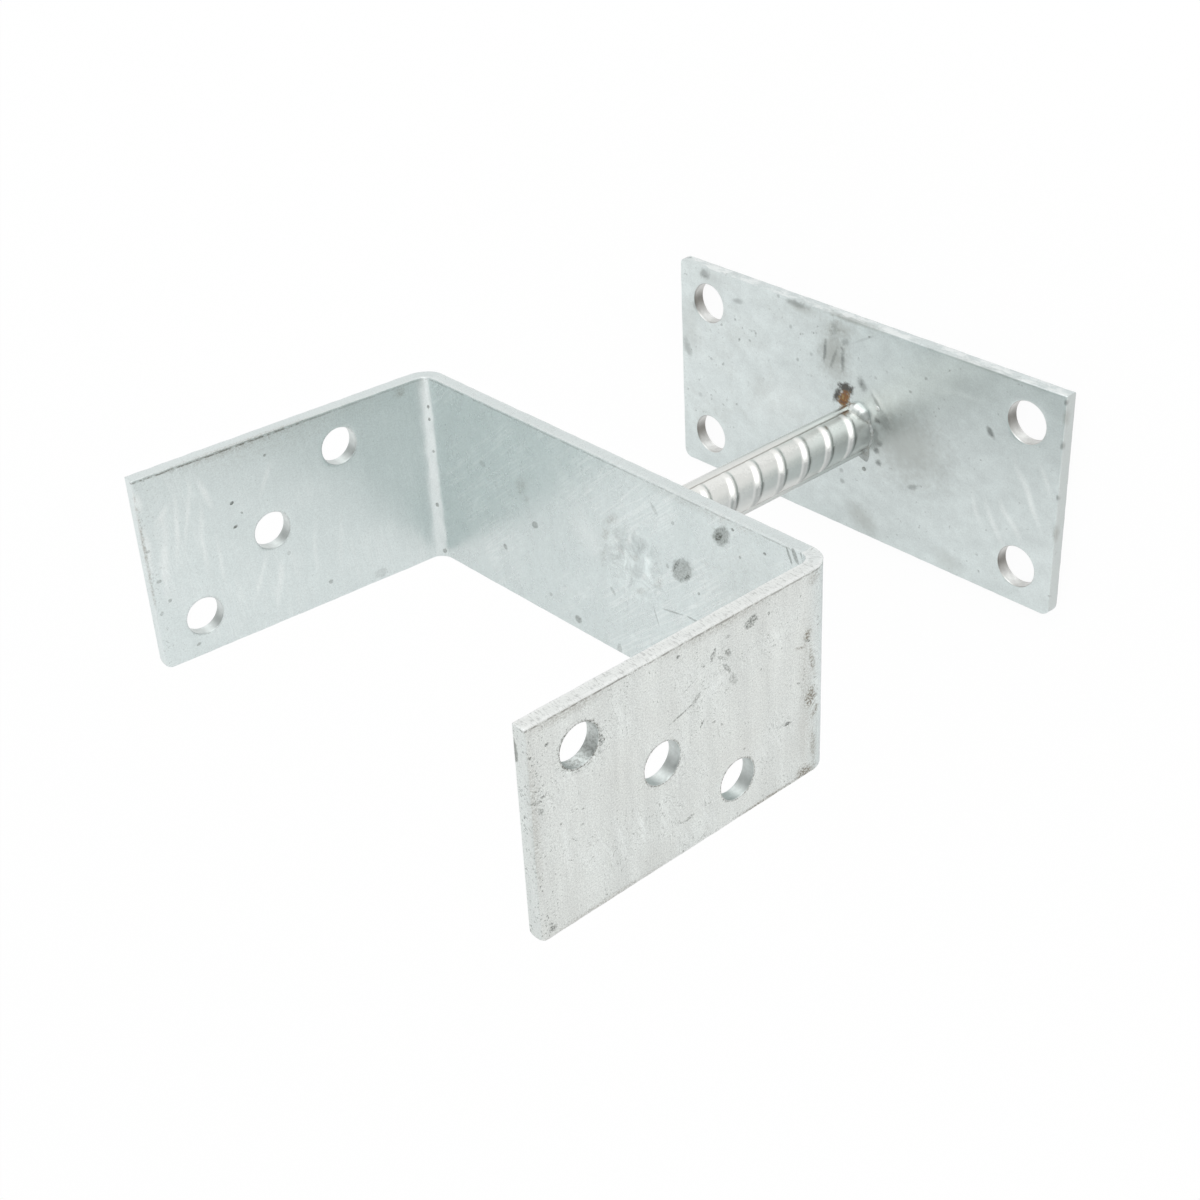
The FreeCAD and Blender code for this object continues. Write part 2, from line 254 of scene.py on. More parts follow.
def boreShare(flat, holes):  # 1 on the wall of a hole, 0 a little away from it
    nearest = min(math.hypot(flat.x - x, flat.y - y) - radius for x, y, radius in holes)
    return 1 - smoothStep(nearest, *sheetLook["boreFade"])


def wallShading(flat, holes, side, look):  # how light the nearest hole's wall is, from 0 to 1, with painted shade on one side and a painted reflection on another
    x, y = min(holes, key=lambda hole: math.hypot(flat.x - hole[0], flat.y - hole[1]))[:2]
    angle = math.degrees(math.atan2(flat.y - y, (flat.x - x) * side))
    dark = math.remainder(angle - look["boreShade"], 360) / sheetLook["darkSpread"]
    light = math.remainder(angle - look["boreLight"], 360) / sheetLook["lightSpread"]
    gain = sheetLook["lightGain"] * math.exp(-light ** 2)
    return sheetLook["tone"] - look["boreDepth"] * math.exp(-dark ** 2) + gain


def drilledSheet(length, width, thickness, shift, holes, corners, look):
    bm = bmesh.new()
    columns = round(length / look["cell"])
    rows = round(width / look["cell"])
    bmesh.ops.create_grid(bm, x_segments=columns, y_segments=rows, size=0.5)
    bmesh.ops.scale(bm, vec=(length, width, 1), verts=bm.verts)
    bmesh.ops.translate(bm, vec=(shift, 0, 0), verts=bm.verts)
    for x, y, radius in holes:
        openHole(bm, x, y, radius, look["holeMargin"])
    for x, y, radius in corners:
        roundCorner(bm, x, y, radius)
    lifted = bmesh.ops.extrude_face_region(bm, geom=bm.faces[:], use_keep_orig=True)
    raised = [item for item in lifted["geom"] if isinstance(item, bmesh.types.BMVert)]
    bmesh.ops.translate(bm, vec=(0, 0, thickness), verts=raised)
    bmesh.ops.recalc_face_normals(bm, faces=bm.faces)
    walls = [edge for edge in bm.edges if abs(edge.verts[0].co.z - edge.verts[1].co.z) > thickness / 2]
    bmesh.ops.subdivide_edges(bm, edges=walls, cuts=sheetLook["wallCuts"])
    limit = math.radians(sheetLook["sharp"])
    sharp = [edge for edge in bm.edges if edge.calc_face_angle() > limit]
    rims = [edge for edge in sharp if boreShare(edge.verts[0].co, holes) > 0.5]
    chosen = set(rims)
    outer = [edge for edge in sharp if edge not in chosen]
    for edges, offset in ((rims, look["rimRadius"]), (outer, look["edgeRadius"])):
        bmesh.ops.bevel(bm, geom=edges, offset=offset, segments=sheetLook["bevelSteps"], profile=0.5,
                        affect="EDGES", clamp_overlap=True, material=-1)
    return bm


def lump(point, scale, seed):  # smooth noise from 0 to 1
    return 0.5 + 0.5 * noise.noise(Vector((point.x * scale + seed, point.y * scale, point.z * scale)))


def rolledGrid(around, along, place):  # a grid rolled into a tube, with its ends closed
    bm = bmesh.new()
    bmesh.ops.create_grid(bm, x_segments=around, y_segments=along, size=0.5)
    for vert in bm.verts:
        vert.co = place((vert.co.x + 0.5) * math.tau, vert.co.y + 0.5)
    bmesh.ops.remove_doubles(bm, verts=bm.verts, dist=0.001 * mm)
    bmesh.ops.holes_fill(bm, edges=[edge for edge in bm.edges if edge.is_boundary])
    bmesh.ops.recalc_face_normals(bm, faces=bm.faces)
    return bm


def finishPiece(bm, name, node, materials):
    mesh = bpy.data.meshes.new(name)
    bm.to_mesh(mesh)
    bm.free()
    mesh.shade_smooth()
    for material in materials:
        mesh.materials.append(material)
    piece = bpy.data.objects.new(name, mesh)
    scene.collection.objects.link(piece)
    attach(piece, "root")
    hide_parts(node)
    print(f"{name}: {len(mesh.polygons)} faces")


mounts = frame["record"]["mounts"]


def boresOf(word):
    return [mount for mount in mounts if mount["kind"] == "bore" and word in mount["name"]]


def mountNamed(name):
    return next(mount for mount in mounts if mount["name"] == name)


def sideOf(x):  # 1 for the right arm, -1 for the left
    return 1 if x > 0 else -1


# The saddle: one strip, drawn flat and folded

saddleLook = {
    "cell": 1.0,            # size of the grid's faces
    "holeMargin": 2.2,      # ring of finer faces round a hole
    "edgeRadius": 0.22,     # softened arris under the zinc
    "rimRadius": 0.25,      # the same round a hole
    "boreSkin": 0.15,       # zinc on a hole's wall
    "boreShade": -138,       # where round a hole the wall has painted shade with some stain, and where a painted reflection, in degrees
    "boreLight": -104,
    "boreDepth": 0.3,       # how dark the painted shade and stain are
    "cornerRadius": 1.5,
    "cornerMelt": 0.9,      # how much rounder the corners are at the faces
    "bendInside": 3.0,
    "faceWave": 0.10,       # how uneven the zinc lies on the faces
    "faceScale": 0.09,      # and how close its waves are
    "edgeWave": 0.22,       # the same on the cut edges
    "edgeScale": 0.35,
    "edgeFall": 8,          # how soon the edge's waves die out inwards
    "puddle": 0.7,          # zinc that gathered in the inner bends
    "puddleScale": 0.22,
}

saddleLow, saddleHigh = (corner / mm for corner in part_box("u_saddle"))
stripThick = mountNamed("post_seat")["pos_m"][2] / mm - saddleLow.z
bendOutside = saddleLook["bendInside"] + stripThick
bendMiddle = saddleLook["bendInside"] + stripThick / 2
bendX = saddleHigh.x - bendOutside
bendZ = saddleLow.z + bendOutside
armStraight = saddleHigh.z - bendZ
leftLean = math.asin(-mountNamed("left_arm_middle_hole")["axis"][2])
leanOf = {1: 0.0, -1: leftLean}


def bendLength(side):
    return bendMiddle * (math.pi / 2 - leanOf[side])


def foldStrip(flat):  # along the strip, across it, and up from its outer face
    side = sideOf(flat.x)
    run = abs(flat.x) - bendX
    turn = max(0, min(run, bendLength(side))) / bendMiddle
    rest = run - turn * bendMiddle
    radius = bendOutside - flat.z
    x = bendX + radius * math.sin(turn) + rest * math.cos(turn)
    z = bendZ - radius * math.cos(turn) + rest * math.sin(turn)
    return Vector((side * x, flat.y, z)) * mm


def armHoles():
    holes = []
    for mount in boresOf("_arm_"):
        x, y, z = (value / mm for value in mount["pos_m"])
        side = sideOf(x)
        lean = leanOf[side]
        along = (abs(x) - bendX) * math.sin(lean) + (z - bendZ) * math.cos(lean)
        radius = mount["dims"]["r_mm"] - saddleLook["boreSkin"]
        holes.append((side * (bendX + bendLength(side) + along), y, radius))
    return holes


rightArmMarks = {  # along, across, half length, half width, turn, how dark
    "gritCluster": (102, 25, 2.7, 1.8, -25, 0.62),
    "gritDot": (96, 24.5, 0.6, 0.4, 90, 0.7),
    "hookHigh": (109.5, 24.5, 0.8, 0.5, -10, 0.55),
    "chainHigh": (114.5, 21.5, 2.2, 1, -70, 0.5),
    "hookLow": (109.5, 20, 1.6, 0.9, 55, 0.55),
    "link": (111.5, 19.5, 2.5, 0.5, 35, 0.35),
    "squiggle": (110, 16, 2.8, 0.7, 55, 0.45),
    "squiggleFoot": (108, 12, 2.3, 1.3, 60, 0.36),
    "chipLeft": (125.5, 26.5, 0.8, 0.6, 0, 0.65),
    "chipLow": (117.5, 20, 0.6, 0.4, 10, 0.55),
    "scuffLine": (125, 10.5, 4.6, 0.35, -15, 0.5),
    "scuffHead": (120, 12.5, 2.2, 0.9, -40, 0.42),
    "hairline": (122, 17, 3.3, 0.2, -25, 0.3),
    "tick": (118.5, 4.5, 1.4, 0.45, -55, 0.5),
    "tickSmall": (114.5, 3, 0.7, 0.4, 0, 0.4),
    "tickRight": (112, 1, 0.6, 0.5, 55, 0.4),
    "hairDown": (113, -1, 2.6, 0.25, 80, 0.3),
    "dotRight": (98.5, 10, 0.4, 0.35, 25, 0.6),
    "dotNearBend": (91.5, 12.5, 0.45, 0.4, 0, 0.6),
    "dotNearHole": (104.5, -10, 0.5, 0.5, 0, 0.5),
    "oblong": (89.5, -10.5, 1.7, 0.6, 10, 0.75),
    "boxMark": (123.5, -20.5, 2.3, 0.6, -10, 0.42),
    "bendTick": (82.5, 10.5, 1.5, 0.4, 30, 0.6),
    "bendTickLow": (85.5, -0.5, 0.6, 0.35, 25, 0.5),
    "rimUpper": (156, 18, 7, 6.8, 0, 0.6),
    "rimMiddle": (131.5, -0.5, 6.3, 6.2, 0, 0.3),
    "rimGrit": (149.5, 16, 1.8, 1.1, 85, 0.5),
    "rimGritLow": (150, 13.5, 1, 0.8, 80, 0.35),
    "endFleck": (165, 23, 0.8, 0.5, -20, 0.75),
    "endHook": (170, 22, 0.7, 0.5, 15, 0.6),
    "endSmudge": (169, 9.5, 1.9, 0.7, 15, 0.4),
    "endTick": (167, 10, 0.9, 0.4, 20, 0.6),
    "endGrit": (168, 6.5, 1.3, 0.9, 85, 0.45),
    "lowTickA": (156, 0.5, 0.6, 0.35, -5, 0.5),
    "lowTickB": (162.5, 0, 0.5, 0.4, -30, 0.5),
    "lowTickC": (156.5, -3.5, 0.7, 0.35, 5, 0.4),
    "cornerSpecks": (167, -27.5, 1.5, 1, 10, 0.7),
    "cornerSpecksHigh": (167.5, -26, 0.8, 0.5, 30, 0.45),
}

rightArmDirt = {
    "bendTop": (82.5, 12, 1.6, 3, 15, 0.75),
    "bendDash": (85, 9.5, 2.6, 0.7, 20, 0.5),
    "bendHigh": (80.5, 3.5, 1.2, 6, -10, 0.45),
    "bendMiddle": (81, -6.5, 2.6, 4, 5, 0.85),
    "bendLow": (79.5, -11.5, 1.4, 3, 25, 0.6),
    "bendFoot": (80, -22, 1.4, 7, -5, 0.5),
    "bendWide": (82.5, -4, 4, 30, 0, 0.22),
    "bendCorner": (82.5, -29, 5, 3, 15, 0.9),
    "bendHead": (80.5, 27.5, 3, 3, 0, 0.35),
    "topFlush": (112, 29, 26, 2.4, 0, 0.3),
    "topFlushEnd": (158, 28.5, 16, 2.2, 0, 0.3),
    "endFlush": (170, 5, 2.4, 30, 0, 0.25),
    "lowFlush": (150, -29.5, 24, 1.6, 0, 0.3),
    "lowLine": (97, -29.5, 17, 0.8, 0, 0.7),
}

rightArmWisps = {  # along, across, half length, half width, turn, how pale
    "bandA": (161, -8, 14, 2, 85, 0.35),
    "bandB": (146, -12, 12, 1.6, 80, 0.3),
    "bandC": (139, -14, 10, 1.2, 70, 0.3),
    "swirl": (114, 13.5, 8, 3, -20, 0.2),
}

webMarks = {
    "burntSpot": (30, 7.5, 5.5, 3.7, 45, 0.46),
    "burntDots": (32, 6, 2, 0.9, 45, 0.25),
    "burntLeft": (28, 8.5, 3.2, 0.6, 60, 0.2),
    "burntCluster": (44.5, 23.5, 4.4, 2.8, 45, 0.52),
    "burntCore": (43.5, 23, 1.8, 1.2, 45, 0.35),
    "burntDot": (48.5, 27, 0.7, 0.6, 0, 0.6),
    "dimple": (-51.5, 9.5, 1.5, 1.2, 0, 0.22),
    "spotMiddle": (-29.5, -2, 1.7, 1.3, 30, 0.42),
    "spotLeft": (-44, -15, 1.1, 1.1, 0, 0.42),
    "spotLow": (-13, -26.5, 1.8, 1.5, 0, 0.5),
    "dotA": (51, 20, 0.5, 0.5, 0, 0.5),
    "dotB": (59.5, 24.5, 0.6, 0.5, 0, 0.6),
    "dotC": (27, 20.5, 0.7, 0.7, -40, 0.36),
    "dotD": (24.5, 6.5, 0.7, 0.7, 20, 0.34),
    "dotE": (36, 3, 0.6, 0.5, 25, 0.4),
    "scratchLong": (26, -7, 4.6, 0.35, 10, 0.34),
    "scratchEnd": (34, -6, 3.4, 0.4, 0, 0.4),
    "scratchShort": (19.5, -11, 3.8, 0.3, -70, 0.26),
    "cornerScratchA": (67.5, 27.5, 0.5, 2.8, 25, 0.5),
    "cornerScratchB": (69.5, 28, 0.8, 2.8, 25, 0.5),
    "cornerScratchC": (72, 28.5, 0.5, 2, 25, 0.45),
    "lowStreak": (4, -29, 1.2, 2.4, 0, 0.26),
    "streakUnder": (2.5, -10.5, 1.8, 0.8, -45, 0.28),
    "streakHigh": (20, 22, 2.4, 0.8, -50, 0.2),
    "dotLow": (-24.5, -23, 0.8, 0.7, 0, 0.3),
}

webDirtAndShade = {
    "heatShade": (5, 4, 10, 13, 20, 0.14),
    "heatSpot": (12, 4, 2.4, 1.6, 35, 0.4),
    "heatLow": (21, 0, 3.4, 2, 55, 0.4),
    "heatArc": (14, -5.5, 4.5, 1.4, 30, 0.4),
    "heatTop": (3, 12.5, 5, 1.8, 35, 0.4),
    "heatLeft": (0.5, 7, 4, 2, 60, 0.38),
    "heatEdge": (-1, -1, 4, 1.8, 75, 0.3),
    "smear": (-34.5, 8.5, 5, 3.2, 65, 0.4),
    "smearLow": (-32.5, 5, 2.4, 1.6, 45, 0.3),
    "topFlush": (35, 28.5, 34, 2, 0, 0.25),
    # painted shade over the web's right part
    "rightShade": (54, 4, 26, 34, 0, 0.2),
}

webWisps = {
    "bright": (-8, 4, 9, 10, 30, 0.25),
    "heatPaleA": (10, 9, 3, 1.2, 50, 0.4),
    "heatPaleB": (15.5, -1, 3.2, 1.2, 60, 0.4),
    "heatPaleC": (17, 5.5, 2.4, 0.8, -60, 0.4),
    "heatPaleD": (6, 4, 2.6, 1.2, -40, 0.35),
    "heatPaleE": (21.5, -3, 2, 0.9, 20, 0.35),
}

leftArmMarks = {
    "pitUpper": (-143, 13, 0.8, 0.55, 15, 0.75),
    "pitLower": (-143, 5.5, 0.9, 0.55, 15, 0.75),
    "pitBetween": (-140.5, 9, 0.5, 0.4, -50, 0.5),
    "dotHigh": (-131, 23.5, 0.6, 0.5, 0, 0.5),
    "greyLow": (-99, -27.5, 2.8, 1.8, 0, 0.16),
    "pitLow": (-116, -23.5, 0.9, 0.8, 0, 0.35),
    "chipLow": (-160, -26, 1, 0.5, 20, 0.4),
    "underHole": (-128, -9, 0.8, 0.8, 0, 0.22),
    "bendPitA": (-75.5, 20.5, 0.8, 0.8, 0, 0.6),
    "bendPitB": (-75.5, 16.5, 0.8, 0.6, 0, 0.6),
    "bendPitC": (-75, 6, 0.8, 0.7, 0, 0.45),
    "bendPitD": (-76, -12, 1.1, 0.9, 0, 0.55),
    "bendPitE": (-74.5, -28, 1.3, 1, 0, 0.5),
    "edgeSpeckA": (-168, -2, 0.9, 0.6, 10, 0.4),
    "edgeSpeckB": (-169, -12, 0.8, 0.6, 60, 0.3),
    "edgeSpeckC": (-166, -9, 0.7, 0.6, 30, 0.4),
    "edgeSpeckD": (-169.5, 8, 0.8, 0.5, 0, 0.35),
}

leftArmDirtAndShade = {
    "tanBend": (-86, 27.5, 3, 3, 15, 0.5),
    # painted shade under the upper edge and along the free end
    "edgeShade": (-140, 30, 34, 3, 0, 0.45),
    "tipShade": (-170.5, 8, 0.9, 26, 0, 0.8),
    "edgeShadeWide": (-126, 31, 44, 11, 0, 0.2),
}

leftArmWisps = {
    "edgeTop": (-169.5, 23.5, 5, 1.6, -85, 0.55),
    "edgeLow": (-169.5, 8, 14, 1.4, -90, 0.5),
    "runA": (-165, 5, 17, 2, -95, 0.45),
    "runB": (-160.5, 12, 15, 1.3, -95, 0.4),
    "runC": (-156.5, 16, 14, 1.2, -100, 0.4),
    "runD": (-152.5, 4, 16, 1.3, -90, 0.4),
    "runE": (-148.5, -3, 12, 1.1, -90, 0.35),
    "fanBroad": (-151, 19, 9, 1.5, -70, 0.5),
    "bandTop": (-164, 17, 5, 1.4, -130, 0.35),
    "holeHigh": (-132.5, 16, 7, 1.2, -115, 0.35),
    "holeLowA": (-138, -13, 12, 1.4, 75, 0.35),
    "holeLowB": (-132.5, -16, 13, 1.5, 80, 0.35),
    "holeLowC": (-119.5, -12, 14, 1.5, 80, 0.28),
    "holeLowD": (-110.5, -12, 12, 1.5, 85, 0.22),
}

zoneLooks = {  # right arm, web, left arm
    "face": (0.0, stripThick, stripThick),  # depth of the face that has the marks
    "low": ((0.67, 0.68, 0.655, 1), (0.605, 0.665, 0.66, 1), (0.64, 0.7, 0.695, 1)),
    "high": ((0.76, 0.795, 0.78, 1), (0.7, 0.755, 0.75, 1), (0.735, 0.79, 0.785, 1)),
    "rough": (0.44, 0.28, 0.32),
    "ragged": (0.9, 0.5, 0.6),        # noise that frays the marks
    "fray": (0.4, 0.2, 0.25),
    "even": (0.25, 0.75, 0.8),        # how much of a mark isn't broken up into grit
    "streaks": (0.14, 0.03, 0.06),    # fine brush lines
    "runs": (0.24, 0.05, 0.05),       # soft bands that hang down
    "mottle": (0.16, 0.2, 0.10),
    "pepper": (0.85, 0.32, 0.38),     # fine grain
    "flecks": (0.6, 0.25, 0.25),
    "dots": (0.7, 0.1, 0.4),          # grit near the borders
    "scrawl": (0.45, 0.12, 0.08),     # thin curling scratches
    "strokes": (0.2, 0.25, 0.15),     # pale slanting lines
    "slant": (65, 40, -82),           # how they lean, in degrees
    "dirtAndShade": (1.3, 0.6, 0.6),          # how gritty the dirt and the painted shade are
    "edge": (0.6, 0.15, 0.1),         # pale, rough cut edge, and a painted highlight along its rims
    "arris": (0.7, 0.5, 0.75),        # dark broken line under the top edge
    "gap": (0.42, 0.40, 0.42),        # how broken it is
    "near": (0.8, 0.6, 0.3),          # how strong it still is by the bend
    "end": (0.6, 0.0, 0.3),           # dull free end
    "lip": (0.7, 0.0, 0.2),           # dark line round a hole
    "heat": (0.0, 1.15, 0.0),         # mottled where a weld sits behind it
}
rightArmLook, webLook, leftArmLook = (
    {key: row[zone] for key, row in zoneLooks.items()} for zone in range(3))

stripWear = {  # millimetres along the strip, across it and through it
    "tip": (170.3, 170.7),         # an arm's end face
    "bendHalf": 3.75,              # to the middle of a bend
    "edge": (29.5, 29.8),          # where the upper cut edge starts
    "lineTop": (29.4, 29.6),       # the dark line under it
    "lineFoot": (28.9, 29.2),
    "borderAlong": (158, 171),     # where grit gathers
    "borderAcross": (22, 30),
    "heat": ((11, 2), (17, 15, 1.5)),  # middle and half sizes
    "endStain": ((170.8, 22.5, 3.7), (0.9, 3.8, 1.1)),
    "grimyHole": ((156, 18, 2), (7.5, 7.5, 6)),  # the right arm's upper one
}

stripColours = {
    "pale": (0.88, 0.91, 0.9, 1),
    "puddle": (0.9, 0.92, 0.91, 1),
    # for dirt, and for painted shade on the left arm and the web
    "soilAndShade": (0.27, 0.25, 0.21, 1),
    "mark": (0.12, 0.13, 0.115, 1),
    "tip": (0.58, 0.64, 0.64, 1),
    "edge": (0.88, 0.9, 0.885, 1),
    "hatch": (0.36, 0.37, 0.36, 1),
    # painted highlight along the cut edge's rims
    "bright": (0.96, 0.97, 0.96, 1),
    "line": (0.17, 0.16, 0.14, 1),
    # the walls of the holes, in painted shade and in a painted reflection
    "boreShade": (0.09, 0.1, 0.095, 1),
    "boreLight": (0.91, 0.97, 0.955, 1),
    "lip": (0.12, 0.12, 0.1, 1),
    "grime": (0.1, 0.1, 0.08, 1),
}


def zincStrip(name, look, marks, dirtAndShade, wisps):
    wear = stripWear
    tint = stripColours
    paint = newPaint(name)
    fade, mix, cloud = paint.fade, paint.mix, paint.cloud
    at = paint.own("flat", "Vector")
    bore = paint.own("bore")
    wall = paint.own("wall")
    along, across, depth = paint.split(at)
    reach = paint.size(along)
    arm = fade(reach, bendX + 3, bendX + 12)
    face = fade(paint.size(depth - look["face"]), 1.2, 0.5)
    ragged = cloud(at, look["ragged"], 4, 0.65)
    broad = cloud(at, (0.045, 0.045, 0.1), 3)
    mottle = cloud(at, (0.3, 0.2, 0.4), 4, 0.6)
    pepper = cloud(at, 2.4, 2, 0.7)
    brushed = cloud(at, (2.2, 0.09, 1), 3)
    runs = cloud(at, (0.2, 0.025, 0.3), 3, 0.5, 0.4)
    grit = fade(cloud(at, 1.7, 3, 0.7), 0.42, 0.6)

    # Zinc, with pale runs and filled bends
    clean = mix(broad, webLook["low"], webLook["high"])
    worn = mix(broad, look["low"], look["high"])
    colour = mix(arm, clean, worn)
    pale = paint.blots(paint.wavy(at, 0.06, 4.5), mottle, wisps, look["face"], 0.15, 1.0)
    slant = cloud(paint.turned(at, look["slant"]), (0.03, 0.6, 0.5), 2)
    pale = pale + paint.threads(slant, 0.05) * fade(broad, 0.42, 0.6) * look["strokes"] * face
    colour = mix(pale, colour, tint["pale"])
    inner = fade(depth, stripThick - 1.2, stripThick - 0.4)
    spread = 2.4 + fade(across, 10, -30) * 1.2
    fromBend = paint.size(reach - bendX - wear["bendHalf"])
    filled = fade(fromBend + (ragged - 0.5) * 4 - spread, 0.3, -0.5) * inner
    colour = mix(filled * 0.2, colour, tint["puddle"])
    tone = 1.0 + (brushed - 0.5) * look["streaks"] + (runs - 0.5) * look["runs"]
    tone = tone + (mottle - 0.5) * look["mottle"] + (pepper - 0.5) * look["pepper"]
    if look["heat"]:
        place, radii = wear["heat"]
        scorched = paint.blot(at, ragged, (*place, look["face"]), radii, 20, 0.2, 0.7) * look["heat"]
        tone = tone + (cloud(at, 0.2, 4, 0.6, 1) - 0.5) * scorched
    colour = paint.shade(colour, tone)

    # Dirt, painted shade and marks
    soilAndShade = paint.blots(at, ragged, dirtAndShade, look["face"], 0.3, 0.9) * (0.25 + grit * look["dirtAndShade"])
    colour = mix(soilAndShade, colour, tint["soilAndShade"])
    sides = fade(paint.size(across), *wear["borderAcross"]) * 0.4
    border = paint.largest(sides, fade(reach, *wear["borderAlong"]))
    spots = cloud(at, 1.5, 4, 0.65) + (mottle - 0.5) * 0.3 + border * 0.07
    flecks = fade(spots, 0.66, 0.70) * look["flecks"]
    dots = paint.specks(at, 1.4, 0.24, 0.3) * border * look["dots"]
    curl = paint.size(cloud(at, (0.3, 0.22, 0.3), 3, 0.55, 1.2) - 0.5)
    here = fade(broad + (mottle - 0.5) * 0.6, 0.46, 0.56)
    scrawl = fade(curl, 0.012, 0.003) * here * look["scrawl"]
    broken = look["even"] + grit * (1.2 - look["even"])
    dark = paint.blots(at, ragged, marks, look["face"], look["fray"]) * broken
    dark = dark + flecks + dots + scrawl * (0.2 + grit)
    colour = mix(dark, colour, tint["mark"])

    # Ends, edges and holes
    tip = fade(reach, *wear["tip"]) * look["end"]
    stain = paint.blot(at, ragged, *wear["endStain"], 0, 0.4) * look["end"]
    colour = mix(tip * 0.5, colour, tint["tip"])
    colour = mix(stain, colour, tint["mark"])
    edge = fade(across, *wear["edge"])
    rims = edge * fade(paint.size(depth - stripThick / 2), 0.9, 1.5)
    gaps = fade(cloud(at, (0.4, 0.8, 0.8), 5, 0.8), look["gap"], look["gap"] + 0.12)
    colour = mix(edge * look["edge"], colour, tint["edge"])
    hatch = fade(cloud(at, (1.8, 0.5, 0.5), 3, 0.7), 0.5, 0.64)
    colour = mix(edge * hatch * look["edge"] * 0.8, colour, tint["hatch"])
    # a broken painted highlight along the rims of the upper cut edge
    colour = mix(rims * gaps * look["edge"] * 0.6, colour, tint["bright"])
    under = (fade(across, *wear["lineFoot"]) - fade(across, *wear["lineTop"])) * face
    far = look["near"] + fade(reach, 100, 135) * (1 - look["near"])
    colour = mix(under * gaps * far * look["arris"], colour, tint["line"])
    # hole walls: painted shade and a painted reflection at fixed angles round each hole, with grit
    lining = mix(wall, tint["boreShade"], tint["boreLight"])
    lining = paint.shade(lining, 0.72 + ragged * 0.55)
    inBore = fade(bore, 0.8, 0.95)
    colour = mix(inBore * 0.92, colour, lining)
    lip = fade(bore, 0.35, 0.6) - inBore
    colour = mix(lip * (0.1 + grit) * look["lip"], colour, tint["lip"])
    grimy = paint.blot(at, ragged, *wear["grimyHole"], 0, 0.1) * (inBore * 0.6 + lip)
    colour = mix(grimy * (0.1 + grit * 0.9), colour, tint["grime"])

    rough = look["rough"] + (mottle - 0.5) * 0.10 + dark * 0.2
    height = pepper * look["pepper"] + brushed * (look["streaks"] * 4) + mottle * 0.6
    return paint.finish(colour, rough, height)


def makeSaddle():
    look = saddleLook
    ends = {side: bendX + bendLength(side) + armStraight for side in (1, -1)}
    width = saddleHigh.y - saddleLow.y
    corner = look["cornerRadius"]
    trimmed = [(ends[1], saddleLow.y, corner), (-ends[-1], saddleLow.y, corner)]
    holes = armHoles()
    shift = (ends[1] - ends[-1]) / 2
    bm = drilledSheet(ends[1] + ends[-1], width, stripThick, shift, holes, trimmed, look)
    flatLayer = bm.verts.layers.float_vector.new("flat")
    boreLayer = bm.verts.layers.float.new("bore")
    wallLayer = bm.verts.layers.float.new("wall")
    for vert in bm.verts:
        shell = abs(2 * vert.co.z / stripThick - 1) ** 3  # 1 at the two faces, 0 between them
        flat = vert.co.copy()
        for x, y, radius in trimmed:
            flat = meltCorner(flat, x, y, radius + look["cornerMelt"] * shell)
        vert[flatLayer] = flat
        vert[boreLayer] = boreShare(flat, holes)
        vert[wallLayer] = wallShading(flat, holes, sideOf(flat.x), look)
        half = bendLength(sideOf(flat.x)) / 2
        inBend = max(0, 1 - ((abs(flat.x) - bendX - half) / (half + 1)) ** 2)
        inside = smoothStep(flat.z, stripThick / 2, stripThick)
        lean = look["faceWave"] * lump(flat, look["faceScale"], 0)
        nibble = look["edgeWave"] * lump(flat, look["edgeScale"], 40)
        flat.z += lean * (1 - 2 * flat.z / stripThick)
        flat.z += look["puddle"] * inBend * inside * lump(flat, look["puddleScale"], 90)
        flat.y -= math.copysign(nibble, flat.y) * (abs(flat.y) / saddleHigh.y) ** look["edgeFall"]
        vert.co = foldStrip(flat)
    for face in bm.faces:
        middle = sum(vert[flatLayer].x for vert in face.verts) / len(face.verts)
        face.material_index = 0 if abs(middle) < bendX else 1 if middle > 0 else 2
    zones = [zincStrip("zincWeb", webLook, webMarks, webDirtAndShade, webWisps),
             zincStrip("zincRightArm", rightArmLook, rightArmMarks, rightArmDirt, rightArmWisps),
             zincStrip("zincLeftArm", leftArmLook, leftArmMarks, leftArmDirtAndShade, leftArmWisps)]
    finishPiece(bm, "foldedSaddle", "u_saddle", zones)


# The base plate

plateLook = {
    "cell": 1.0,
    "holeMargin": 2.2,
    "edgeRadius": 0.45,
    "rimRadius": 0.4,
    "boreSkin": 0.2,
    # where round a hole the wall has painted shade and a painted reflection, in degrees, and how dark the
    # shade is
    "boreShade": -172,
    "boreLight": -114,
    "boreDepth": 0.48,
    "cornerRadius": 3.0,
    "topCorner": 1.6,       # the one upper corner that is rounded
    "faceWave": 0.10,
    "faceScale": 0.08,
    "edgeWave": 0.2,
    "edgeScale": 0.3,
    "sideFall": 10,         # how soon the edges' waves die out inwards
    "endFall": 20,
}

plateLow, plateHigh = (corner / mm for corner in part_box("base_plate"))

